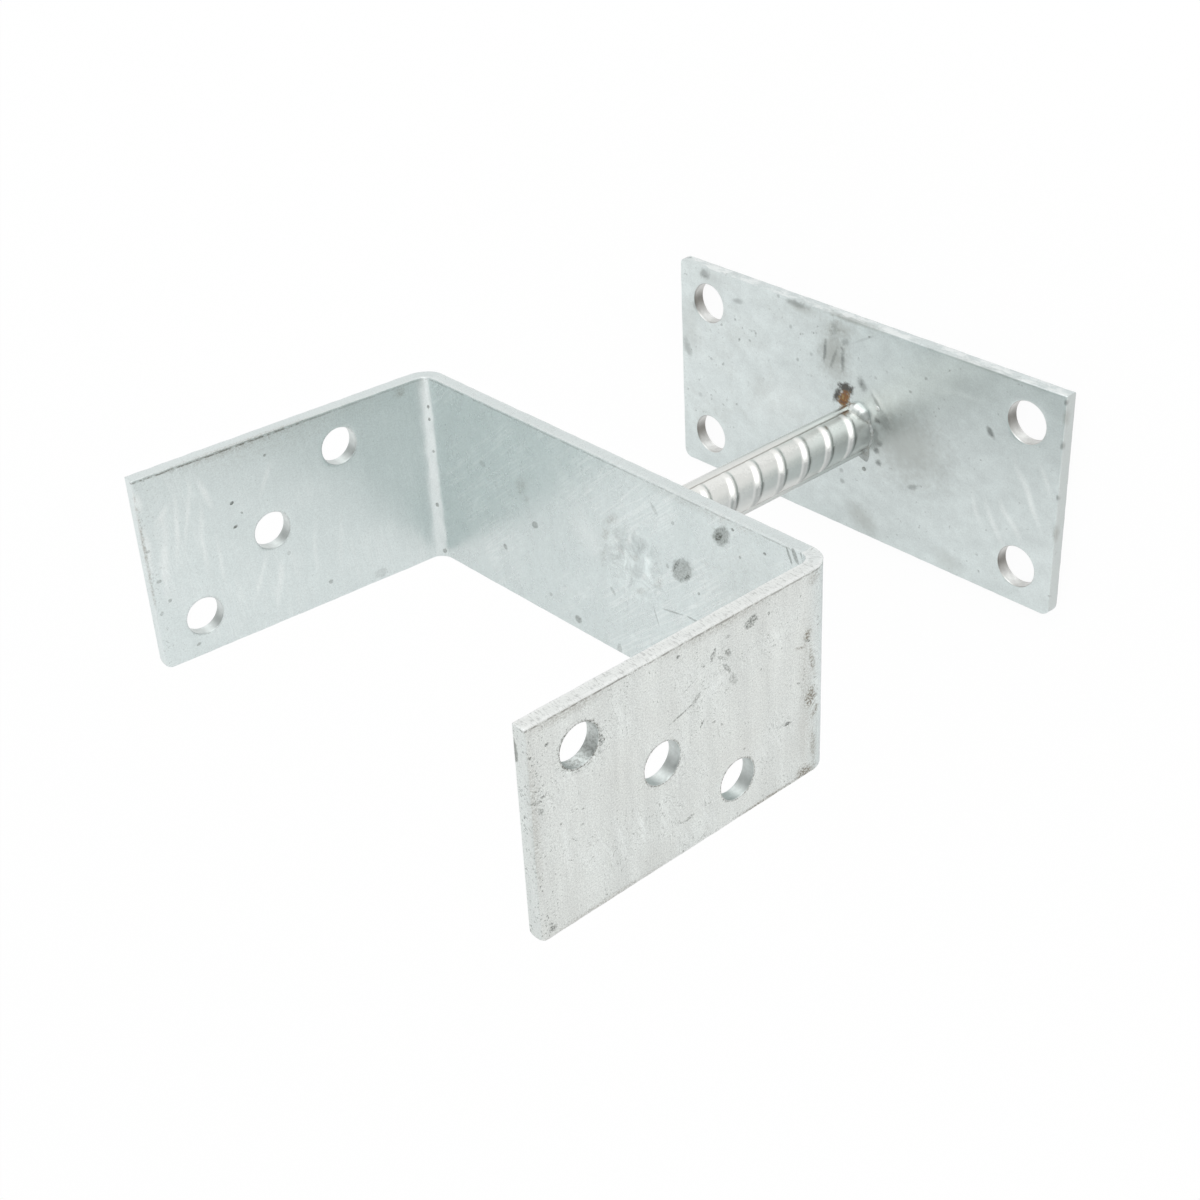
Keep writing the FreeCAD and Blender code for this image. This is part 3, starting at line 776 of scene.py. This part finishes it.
plateMarks = {  # along, across, half length, half width, turn, how dark
    "scorchA": (-12.5, 22, 4.8, 0.9, 85, 0.6),
    "scorchB": (-9, 20.5, 4.8, 0.9, 70, 0.4),
    "scorchC": (-5.5, 21, 5.2, 1.2, 90, 0.6),
    "scorchD": (-4.5, 27, 2.4, 1.5, 20, 0.35),
    "scorchE": (-9, 30, 4.5, 1.8, 90, 0.25),
    "fan": (2.5, 30, 7.2, 0.6, 30, 0.16),
    "toeSpotHigh": (3, 15, 2.2, 2.6, 0, 0.5),
    "toeSpotBrown": (1.5, 16, 1.8, 2.6, -20, 0.3),
    "toePitA": (8.5, 5.5, 1.6, 1.4, 0, 0.6),
    "toePitB": (10, -1.5, 1.5, 1.3, 0, 0.5),
    "toePitC": (8.5, -4.5, 1.5, 1.3, 0, 0.65),
    "toePitD": (9.5, -8, 1.6, 1.4, 0, 0.65),
    "toeLine": (8, 11.5, 4, 0.9, -50, 0.45),
    "toeSmear": (11, 6.5, 3.4, 4.2, 30, 0.35),
    "toeGap": (8, -0.5, 1.6, 5, 0, 0.4),
    "comma": (49.5, 16, 2.8, 1.4, -50, 0.7),
    "smudgeCorner": (-63, 32.5, 3, 2.4, 5, 0.45),
    "smudgeRight": (-48.5, 27.5, 3.2, 1.4, 5, 0.38),
    "smudgeHole": (-67.5, 20.5, 2.2, 1.6, -65, 0.28),
    "smudgeEdge": (-71.5, 5, 5.2, 2.2, -70, 0.35),
    "smudgeTop": (-24, 33.5, 7, 1.3, 0, 0.4),
    "dashLow": (23, -11.5, 3.2, 1.1, 25, 0.45),
    "pairA": (-5, -16, 1.2, 1.1, 0, 0.36),
    "pairB": (-4.5, -19.5, 1.3, 1.2, -5, 0.4),
    "dotA": (-31.5, 34, 0.9, 0.9, 0, 0.34),
    "dotB": (-26.5, 25.5, 1.1, 1, 10, 0.34),
    "dotC": (-23.5, 15.5, 0.9, 0.9, 5, 0.34),
    "dotD": (-18, 19, 0.9, 0.9, -5, 0.3),
    "dotE": (-66, -10, 1.3, 1.2, 5, 0.24),
    "dotF": (20.5, 19, 0.8, 0.7, -5, 0.44),
    "dotG": (26, 25, 0.8, 0.7, -5, 0.4),
    "endCorner": (73.5, 33, 0.9, 1.2, 0, 0.65),
    "endSpotA": (73.5, 20, 0.9, 1.8, 0, 0.6),
    "endSpotB": (73.5, 4, 0.8, 1.3, 0, 0.6),
}

plateDirtAndShade = {
    "topStain": (-22, 33, 9, 3, 0, 0.36),
    "topSmear": (-6, 31, 9, 4, 5, 0.36),
    "topLine": (-2, 34.5, 18, 1.2, 0, 0.5),
    "topLineRight": (45, 34.5, 26, 0.8, 0, 0.3),
    "scorchShade": (-9, 22, 9, 13, 0, 0.55),
    # painted shade beside the weld, with some heat tint
    "weldShade": (20, 1, 24, 18, 0, 0.42),
    "leftShade": (-70, 12, 6, 14, 0, 0.16),
    "topLeftShade": (-60, 32, 12, 5, 0, 0.16),
    # painted shade along the lower edge
    "lowShade": (3.5, -29.5, 9, 6.5, -30, 0.34),
    "lowShadeRight": (37, -31, 9, 5, -10, 0.22),
    "endStainHigh": (74, 28.5, 1.6, 4, 0, 0.5),
    "endStainLow": (74, -7.5, 1.6, 4, 0, 0.6),
}

plateWisps = {
    "slantA": (62.5, 3, 12, 1.7, -65, 0.5),
    "slantB": (58.5, -9, 9, 1.6, -60, 0.5),
    "slantC": (53, -11.5, 10, 1.5, -65, 0.45),
    "slantD": (66, -3.5, 9, 1.6, -60, 0.45),
    "slantE": (47, -9.5, 7.5, 1.4, -65, 0.4),
    "slantF": (68.5, 7, 8, 1.5, -65, 0.4),
    "level": (38, 23, 12, 1.2, 10, 0.2),
    "ridge": (9.5, 12.5, 5, 1.4, -50, 0.6),
    "ridgeLow": (13, 8, 4, 1.2, -60, 0.45),
    "leftGlow": (-30, -2, 22, 12, 20, 0.24),
}

plateColours = {
    "low": (0.62, 0.675, 0.67, 1),
    "high": (0.72, 0.775, 0.77, 1),
    "pale": (0.88, 0.92, 0.91, 1),
    "dark": (0.15, 0.16, 0.155, 1),
    "brown": (0.31, 0.315, 0.285, 1),
    "burnt": (0.045, 0.04, 0.033, 1),
    "rust": (0.27, 0.115, 0.035, 1),
    "gold": (0.36, 0.25, 0.1, 1),
    # the walls of the holes, in painted shade and in a painted reflection
    "boreShade": (0.12, 0.105, 0.085, 1),
    "boreLight": (0.95, 0.96, 0.94, 1),
    "edge": (0.92, 0.94, 0.93, 1),
    "end": (0.46, 0.48, 0.46, 1),
}

plateWear = {
    "edge": (34.6, 34.9),   # across, where the upper cut edge starts
    "end": (73.5, 73.8),    # along, where the right end face starts
}


def rustSpot(paint, at, ragged, colour):  # where the bead stops short: burnt round the rim, rusty inside
    tint = plateColours
    top = plateHigh.z
    head = paint.blot(at, ragged, (-4.2, 12.0, top), (4.4, 2.4, 4.0), 10, 0.4, 0.6)
    side = paint.blot(at, ragged, (-7.0, 9.5, top), (2.0, 4.2, 4.0), -20, 0.4, 0.8)
    core = paint.blot(at, ragged, (-4.6, 8.6, top), (2.7, 4.4, 4.0), -20, 0.35, 0.6)
    rim = paint.largest(paint.largest(head, side), core)
    glint = paint.cloud(at, (1.3, 0.9, 1.3), 3, 0.7)
    colour = paint.mix(rim * 0.92, colour, tint["burnt"])
    rusty = paint.mix(paint.fade(glint, 0.5, 0.6), tint["rust"], tint["gold"])
    return paint.mix(core * paint.fade(glint, 0.3, 0.48) * 0.85, colour, rusty), rim


def zincPlate():
    tint = plateColours
    top = plateHigh.z
    paint = newPaint("zincPlate")
    fade, mix, cloud = paint.fade, paint.mix, paint.cloud
    at = paint.objectPlace()
    bore = paint.own("bore")
    wall = paint.own("wall")
    along, across = paint.split(at)[:2]
    ragged = cloud(at, 0.6, 4, 0.65)
    broad = cloud(at, (0.035, 0.05, 0.1), 4, 0.6)
    mottle = cloud(at, (0.16, 0.2, 0.3), 5, 0.65)
    grain = cloud(at, 1.8, 3, 0.7)
    colour = mix(broad, tint["low"], tint["high"])
    pale = paint.blots(paint.wavy(at, 0.06, 6.0), mottle, plateWisps, top, 0.15, 1.0)
    colour = mix(pale, colour, tint["pale"])
    tone = 1.0 + (mottle - 0.5) * 0.4 + (grain - 0.5) * 0.34
    colour = paint.shade(colour, tone)
    smoke = fade(cloud(at, (0.07, 0.09, 0.2), 5, 0.75), 0.45, 0.75)
    colour = mix(smoke * fade(along, 40, -40) * 0.22, colour, tint["brown"])
    # dirt, with painted shade beside the weld and along the lower edge
    soilAndShade = paint.blots(at, ragged, plateDirtAndShade, top, 0.25, 0.95, 3.0) * (0.4 + grain * 1.2)
    colour = mix(soilAndShade, colour, tint["brown"])
    spots = cloud(at, 0.55, 2, 0.5) + (mottle - 0.5) * 0.3
    spots = spots - fade(along, -30, 50) * 0.04
    flecks = fade(spots, 0.62, 0.82) * fade(broad, 0.40, 0.58) * 0.6
    dark = paint.blots(at, ragged, plateMarks, top, 0.25, 0.8) * (0.55 + grain * 0.8) + flecks
    colour = mix(dark, colour, tint["dark"])
    colour, rusty = rustSpot(paint, at, ragged, colour)
    # hole walls: painted shade and a painted reflection at fixed angles round each hole, with grit
    lining = mix(wall, tint["boreShade"], tint["boreLight"])
    lining = paint.shade(lining, 0.68 + ragged * 0.6)
    colour = mix(fade(bore, 0.6, 0.9) * 0.92, colour, lining)
    edge = fade(across, *plateWear["edge"])
    patches = fade(cloud(at, (0.12, 0.3, 0.3), 4, 0.7), 0.45, 0.6)
    colour = mix(edge * patches * 0.6, colour, tint["edge"])
    end = fade(along, *plateWear["end"])
    colour = mix(end * (0.2 + mottle * 0.5), colour, tint["end"])
    rough = 0.33 + (mottle - 0.5) * 0.12 + dark * 0.2 + rusty * 0.4
    return paint.finish(colour, rough, grain * 0.5 + mottle * 0.8, metal=1.0 - rusty * 0.9)


def makePlate():
    look = plateLook
    low, high = plateLow, plateHigh
    holes = []
    for mount in boresOf("anchor"):
        radius = mount["dims"]["r_mm"] - look["boreSkin"]
        holes.append((mount["pos_m"][0] / mm, mount["pos_m"][1] / mm, radius))
    corner = look["cornerRadius"]
    trimmed = [(low.x, low.y, corner), (high.x, low.y, corner), (low.x, high.y, look["topCorner"])]
    thick = high.z - low.z
    bm = drilledSheet(high.x - low.x, high.y - low.y, thick, 0, holes, trimmed, look)
    boreLayer = bm.verts.layers.float.new("bore")
    wallLayer = bm.verts.layers.float.new("wall")
    for vert in bm.verts:
        flat = vert.co
        vert[boreLayer] = boreShare(flat, holes)
        vert[wallLayer] = wallShading(flat, holes, 1, look)
        lean = look["faceWave"] * lump(flat, look["faceScale"], 7) * flat.z / thick
        nibble = look["edgeWave"] * lump(flat, look["edgeScale"], 21)
        flat.z -= lean
        flat.y -= math.copysign(nibble, flat.y) * (abs(flat.y) / high.y) ** look["sideFall"]
        flat.x -= math.copysign(nibble, flat.x) * (abs(flat.x) / high.x) ** look["endFall"]
        vert.co = flat * mm
    finishPiece(bm, "drilledPlate", "base_plate", [zincPlate()])


# The stem: a ribbed bar, with crescent ribs on two sides and a seam between them

barLook = {
    "core": 6.75,         # radius between the ribs
    "turn": 26,           # where the front ribs are tallest, degrees
    "ribHeight": 1.0,
    "ribFoot": 1.7,       # half widths
    "ribCrest": 0.1,
    "ribReach": 74,       # degrees to where a rib fades out
    "ribSlant": 23,
    "ribPitch": 10.0,
    "ribFirst": 8.2,      # from the bar's end
    "ribRows": 9,
    "footLine": 0.45,     # half width of the painted shade line at a rib's foot
    "seamFoot": 1.75,
    "seamCrest": 0.95,
    "around": 144,
    "rows": 370,
}

# The pale top colour is a painted highlight; the colour of the lower half and the rib, foot and crease
# colours are painted shade
barColours = {
    "low": (0.68, 0.69, 0.665, 1),
    "high": (0.8, 0.805, 0.775, 1),
    "top": (0.92, 0.925, 0.895, 1),
    "lowerShade": (0.59, 0.61, 0.6, 1),
    "rib": (0.42, 0.44, 0.43, 1),
    "foot": (0.16, 0.16, 0.15, 1),
    "seam": (0.48, 0.51, 0.5, 1),
    "crease": (0.2, 0.17, 0.14, 1),
    "speck": (0.2, 0.2, 0.18, 1),
}


def ribNear(angle, height):  # how tall the nearest rib is, from 0 to 1, and how far off
    look = barLook
    swing = math.remainder(angle - math.radians(look["turn"]), math.pi)  # from the nearer rib row's middle
    reach = math.radians(look["ribReach"])
    crescent = max(0, 1 - (swing / reach) ** 2)
    drop = look["core"] * math.sin(swing) * math.tan(math.radians(look["ribSlant"]))
    level = height + drop - look["ribFirst"]
    row = min(max(round(level / look["ribPitch"]), 0), look["ribRows"] - 1)
    return crescent, (level - row * look["ribPitch"]) * math.cos(math.radians(look["ribSlant"]))


def ribShare(crescent, off):
    return crescent * smoothStep(abs(off), barLook["ribFoot"], barLook["ribCrest"])


def barRadius(angle, height):
    look = barLook
    core = look["core"]
    rib = look["ribHeight"] * ribShare(*ribNear(angle, height))
    side = abs(math.remainder(angle - math.radians(look["turn"] + 90), math.pi)) * core
    seam = look["ribHeight"] * smoothStep(side, look["seamFoot"], look["seamCrest"])
    return core + max(rib, seam)


def zincBar():
    tint = barColours
    paint = newPaint("zincBar")
    fade, mix, cloud = paint.fade, paint.mix, paint.cloud
    at = paint.objectPlace()
    x, y = paint.split(at)[:2]
    turn = math.radians(barLook["turn"])
    front = paint.size(x * math.cos(turn) + y * math.sin(turn))  # away from the plane of the two seams
    grain = cloud(at, 1.4, 3, 0.6)
    drag = cloud(at, (0.5, 0.5, 0.06), 3)
    fine = paint.specks(at, 2.0, 0.3, 0.3)
    colour = mix(drag, tint["low"], tint["high"])
    # lighter along the +Y side as a painted highlight, darker below the middle as painted shade, less dark
    # at the very bottom
    low = y + (grain - 0.5) * 3
    lowerShade = fade(low, 4.6, 1.6) - fade(low, -0.5, -3.5) * 0.7
    colour = mix(fade(low, 5.4, 6.8) * 0.6, colour, tint["top"])
    colour = mix(lowerShade * 0.8, colour, tint["lowerShade"])
    # the ribs' lower ends and the line at their feet are darkened as painted shade
    under = fade(low, 3.2, 1.8)
    rib = fade(paint.own("crest"), 0.05, 0.5)
    colour = mix(rib * under * 0.8, colour, tint["rib"])
    colour = mix(paint.own("foot") * under * (0.4 + grain), colour, tint["foot"])
    colour = paint.shade(colour, 1.0 + (grain - 0.5) * 0.1)
    seam = fade(front, 2.0, 1.2)
    # a gritty dark line in the crease beside each seam, painted shade
    crease = fade(paint.size(front - 2.2), 0.55, 0.15) * (0.3 + grain * 1.2)
    colour = mix(seam * 0.35, colour, tint["seam"])
    colour = mix(crease * 0.6, colour, tint["crease"])
    colour = mix(fine * 0.25, colour, tint["speck"])
    rough = 0.31 + (grain - 0.5) * 0.06
    return paint.finish(colour, rough, grain * 0.4 + drag, 0.01)


def makeStem():
    low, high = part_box("ribbed_stem")
    tall = high.z - low.z

    def place(angle, share):
        radius = barRadius(angle, share * tall / mm) * mm
        return Vector((radius * math.cos(angle), radius * math.sin(angle), low.z + share * tall))

    bm = rolledGrid(barLook["around"], barLook["rows"], place)
    # crest: how much of a rib is there; foot: the line at a rib's foot that gets painted shade
    crestLayer = bm.verts.layers.float.new("crest")
    footLayer = bm.verts.layers.float.new("foot")
    for vert in bm.verts:
        crescent, off = ribNear(math.atan2(vert.co.y, vert.co.x), (vert.co.z - low.z) / mm)
        fromFoot = (off + barLook["ribFoot"]) / barLook["footLine"]  # on the plate's side
        vert[crestLayer] = ribShare(crescent, off)
        vert[footLayer] = crescent * math.exp(-fromFoot ** 2)
    finishPiece(bm, "ribbedBar", "ribbed_stem", [zincBar()])


# The welds: uneven beads round the bar's two ends

weldLook = {
    "reach": 0.6,         # least reach over the plate
    "rise": 0.6,          # least height up the bar
    "least": 0.15,        # of either, where a lobe takes away
    "bulge": 0.8,         # under 1 is rounder than an ellipse
    "sinkBar": 0.4,       # how deep the bead's border lies in the bar
    "sinkPlate": 0.3,     # and in the plate or the saddle
    "uneven": 0.7,
    "unevenScale": 2.6,
    "ripple": 0.08,
    "ripples": 30,
    "rippleShift": 4,     # how far noise moves the ripples, in radians
    "rippleScale": 3,
    "around": 180,
    "across": 22,
}

weldColours = {
    "low": (0.34, 0.37, 0.36, 1),
    "high": (0.5, 0.53, 0.52, 1),
    # painted highlight on the bead's +Y side
    "crownHighlight": (0.74, 0.77, 0.755, 1),
}

footLobes = {  # where in degrees, half width in degrees, more reach, more rise
    "crest": (78, 34, 1.9, 2.0),
    "back": (205, 55, 1.7, 1.7),
    "tail": (-62, 15, 3.2, 0.2),
    "crater": (130, 18, -1.5, -1.4),
}

headLobes = {
    "left": (170, 70, 1.6, 1.5),
    "right": (-20, 60, 1.6, 1.6),
}

spatter = {  # droplets on the plate: along, across, long, wide, high, turn
    "dropHigh": (8.6, 9.6, 1, 0.8, 0.4, -40),
    "dropLow": (4, -12.2, 0.8, 0.7, 0.3, 0),
}


def zincWeld():
    tint = weldColours
    paint = newPaint("zincWeld")
    at = paint.objectPlace()
    ragged = paint.cloud(at, 0.6, 4, 0.65)
    grain = paint.cloud(at, 1.3, 4, 0.6)
    x, y = paint.split(at)[:2]
    crownHighlight = paint.fade(y + (ragged - 0.5) * 4 - x * 0.4, 4.5, 6.5)  # a painted highlight on the bead's +Y side, which is also smoother
    colour = paint.mix(grain, tint["low"], tint["high"])
    colour = paint.mix(paint.fade(ragged, 0.50, 0.64) * 0.7, colour, plateColours["brown"])
    colour = paint.mix(crownHighlight * 0.9, colour, tint["crownHighlight"])
    rough = 0.5 - crownHighlight * 0.16 + (grain - 0.5) * 0.1
    return paint.finish(colour, rough, grain)


def makeWeld(name, node, foot, upward, lobes, drops, seed, material):
    look = weldLook

    def place(angle, share):
        ring = Vector((math.cos(angle), math.sin(angle), 0))
        uneven = look["uneven"] * (lump(ring, look["unevenScale"], seed) - 0.5)
        phase = look["ripples"] * angle + look["rippleShift"] * lump(ring, look["rippleScale"], seed + 5)
        ripple = look["ripple"] * math.sin(phase)
        reach = look["reach"] + uneven
        rise = look["rise"] + uneven
        for where, wide, out, up in lobes.values():
            swing = math.remainder(angle - math.radians(where), math.tau) / math.radians(wide)
            reach += out * math.exp(-swing ** 2)
            rise += up * math.exp(-swing ** 2)
        slope = share * math.pi / 2
        middle = ripple * math.sin(share * math.pi)
        out = (max(reach, look["least"]) + middle) * math.cos(slope) ** look["bulge"]
        up = (max(rise, look["least"]) + middle) * math.sin(slope) ** look["bulge"]
        out -= look["sinkBar"] * share
        up -= look["sinkPlate"] * (1 - share)
        return (ring * (barLook["core"] + out) + Vector((0, 0, foot + upward * up))) * mm

    bm = rolledGrid(look["around"], look["across"], place)
    for along, across, long, wide, high, turn in drops.values():
        spot = Matrix.Translation(Vector((along, across, foot)) * mm)
        spot = spot @ Matrix.Rotation(math.radians(turn), 4, "Z")
        spot = spot @ Matrix.Diagonal((long * mm, wide * mm, high * mm, 1))
        bmesh.ops.create_icosphere(bm, subdivisions=3, radius=1, matrix=spot)
    finishPiece(bm, name, node, [material])


makeSaddle()
makePlate()
makeStem()
weldMaterial = zincWeld()
makeWeld("footBead", "base_weld", plateHigh.z, 1, footLobes, spatter, 3, weldMaterial)
makeWeld("headBead", "saddle_weld", saddleLow.z, -1, headLobes, {}, 11, weldMaterial)


# Floor, light and camera

stageLook = {
    "floorSize": 6.0,
    "floorColour": (0.92, 0.92, 0.92, 1),
    "floorGlow": 0.94,    # how much of the floor is plain white to the camera and to the metal
    "worldStrength": 1.0,
    "cardSize": 0.6,      # half its side
    "cardColour": (0.92, 0.92, 0.92, 1),
    "cardGlow": 0.5,      # the same for the card
    "cardTilt": 1.4,      # degrees, as the object would lie on a table
    "cardGap": 0.05,      # millimetres under the object
}


def makeSheet(name, paint, share, colour, half, spot):  # plain white by a share, matte for the rest
    bm = bmesh.new()
    bmesh.ops.create_grid(bm, x_segments=1, y_segments=1, size=half, matrix=spot)
    mesh = bpy.data.meshes.new(name)
    bm.to_mesh(mesh)
    bm.free()
    matte = paint.node("ShaderNodeBsdfDiffuse", {"Color": colour})
    glow = paint.node("ShaderNodeEmission", {"Color": (1, 1, 1, 1), "Strength": 1.0})
    surface = paint.node("ShaderNodeMixShader", {0: share, 1: matte, 2: glow})
    paint.node("ShaderNodeOutputMaterial", {"Surface": surface})
    mesh.materials.append(paint.owner)
    sheet = bpy.data.objects.new(name, mesh)
    scene.collection.objects.link(sheet)
    return sheet


def makeFloor():
    look = stageLook
    paint = newPaint("paleFloor")
    kinds = ("Is Camera Ray", "Is Glossy Ray", "Is Transmission Ray")
    rays = [paint.node("ShaderNodeLightPath", {}, kind) for kind in kinds]
    seen = paint.largest(paint.largest(rays[0], rays[1]), rays[2]) * look["floorGlow"]
    floor = makeSheet("floor", paint, seen, look["floorColour"], look["floorSize"] / 2, Matrix())
    floor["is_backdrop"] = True


def makeCard():  # a pale card under the object as it lies in the picture, which only the metal sees
    look = stageLook
    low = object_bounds()[0]
    lie = Matrix.Rotation(math.radians(look["cardTilt"] - 90), 4, "X")
    spot = Matrix.Translation((0, low[1] - look["cardGap"] * mm, 0)) @ lie
    paint = newPaint("paleCard")
    card = makeSheet("card", paint, look["cardGlow"], look["cardColour"], look["cardSize"], spot)
    card.visible_camera = False
    card.visible_diffuse = False
    card.visible_shadow = False
    card.visible_transmission = False
    card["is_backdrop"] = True


def makeWorld():
    scene.world = bpy.data.worlds.new("studio")
    paint = Paint(scene.world)
    inputs = {"Color": (1, 1, 1, 1), "Strength": stageLook["worldStrength"]}
    back = paint.node("ShaderNodeBackground", inputs)
    paint.node("ShaderNodeOutputWorld", {"Surface": back})


lampLook = {
    "place": (0.15, 0.9, 0.25),  # metres
    "aim": (0, 0, 0.1),
    "size": (1.1, 1.1),
    "power": 3.5,
}


def makeLamp():
    data = bpy.data.lights.new("overhead", "AREA")
    data.shape = "RECTANGLE"
    data.size, data.size_y = lampLook["size"]
    data.energy = lampLook["power"]
    lamp = bpy.data.objects.new("overhead", data)
    lamp.location = lampLook["place"]
    way = Vector(lampLook["aim"]) - Vector(lampLook["place"])
    lamp.rotation_euler = way.to_track_quat("-Z", "Y").to_euler()
    scene.collection.objects.link(lamp)


cameraLook = {
    "place": (341.90, 267.53, 403.54),  # millimetres
    "aim": (79.0, 51.703, 176.852),
    "roll": -117.566,                   # the object lies on its side in the picture
    "lens": 58.10,
    "sensor": 36,
    "clip": 0.01,                       # metres
}


def makeCamera():
    data = bpy.data.cameras.new("camera")
    data.sensor_width = cameraLook["sensor"]
    data.lens = cameraLook["lens"]
    data.clip_start = cameraLook["clip"]
    camera = bpy.data.objects.new("camera", data)
    place = Vector(cameraLook["place"]) * mm
    way = Vector(cameraLook["aim"]) * mm - place
    level = way.to_track_quat("-Z", "Y").to_matrix().to_4x4()
    roll = Matrix.Rotation(math.radians(cameraLook["roll"]), 4, "Z")
    camera.matrix_world = Matrix.Translation(place) @ level @ roll
    scene.collection.objects.link(camera)
    scene.camera = camera


makeFloor()
makeCard()
makeWorld()
makeLamp()
makeCamera()
scene.view_settings.view_transform = "Standard"
print("floor, light and camera set")
